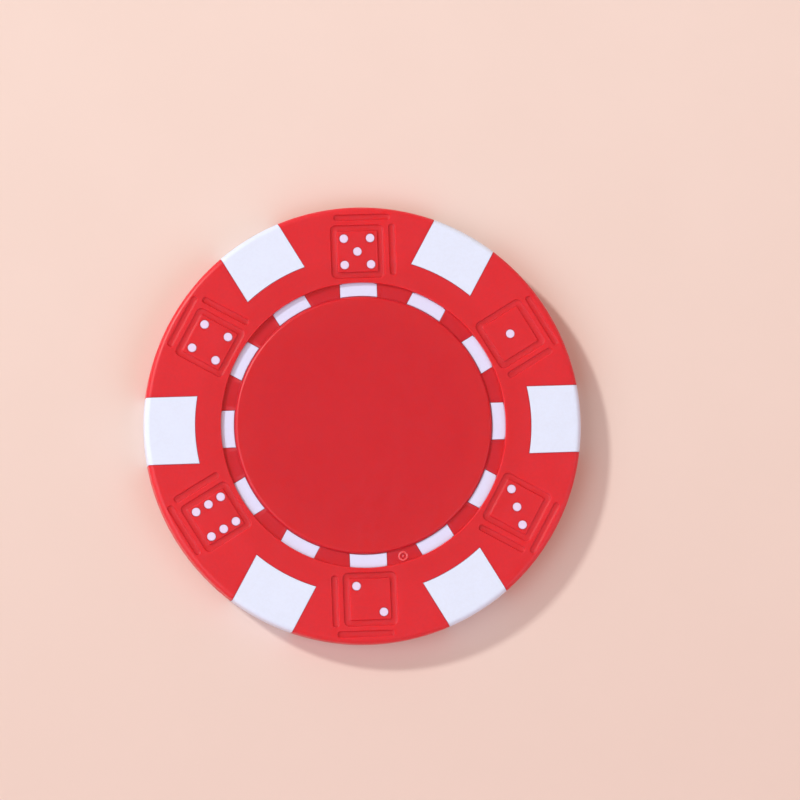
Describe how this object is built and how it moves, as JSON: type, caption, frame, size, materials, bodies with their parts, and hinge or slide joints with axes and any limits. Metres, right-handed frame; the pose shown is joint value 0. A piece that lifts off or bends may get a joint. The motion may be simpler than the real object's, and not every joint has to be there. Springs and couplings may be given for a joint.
{
  "type": "ball marker chip",
  "caption": "Round red and white plastic chip with a steel core, white edge blocks, a recessed ring of dashes, a dice pattern and a blank centre; marks a golf ball's place.",
  "frame": {"origin": "on the chip's axis, at the lower face that it rests on", "axes": "+Z along the axis, out of the upper face; +X through the middle of an edge block, with the die that shows one between it and the next block anticlockwise"},
  "size_m": [0.0402, 0.0402, 0.0033],
  "materials": {
    "slug_steel": "satin",
    "white_plastic": "satin",
    "red_plastic": "satin"
  },
  "bodies": {
    "root": {"steel_slug": "slug_steel", "white_core": "white_plastic", "red_body": "red_plastic"}
  },
  "joints": []
}
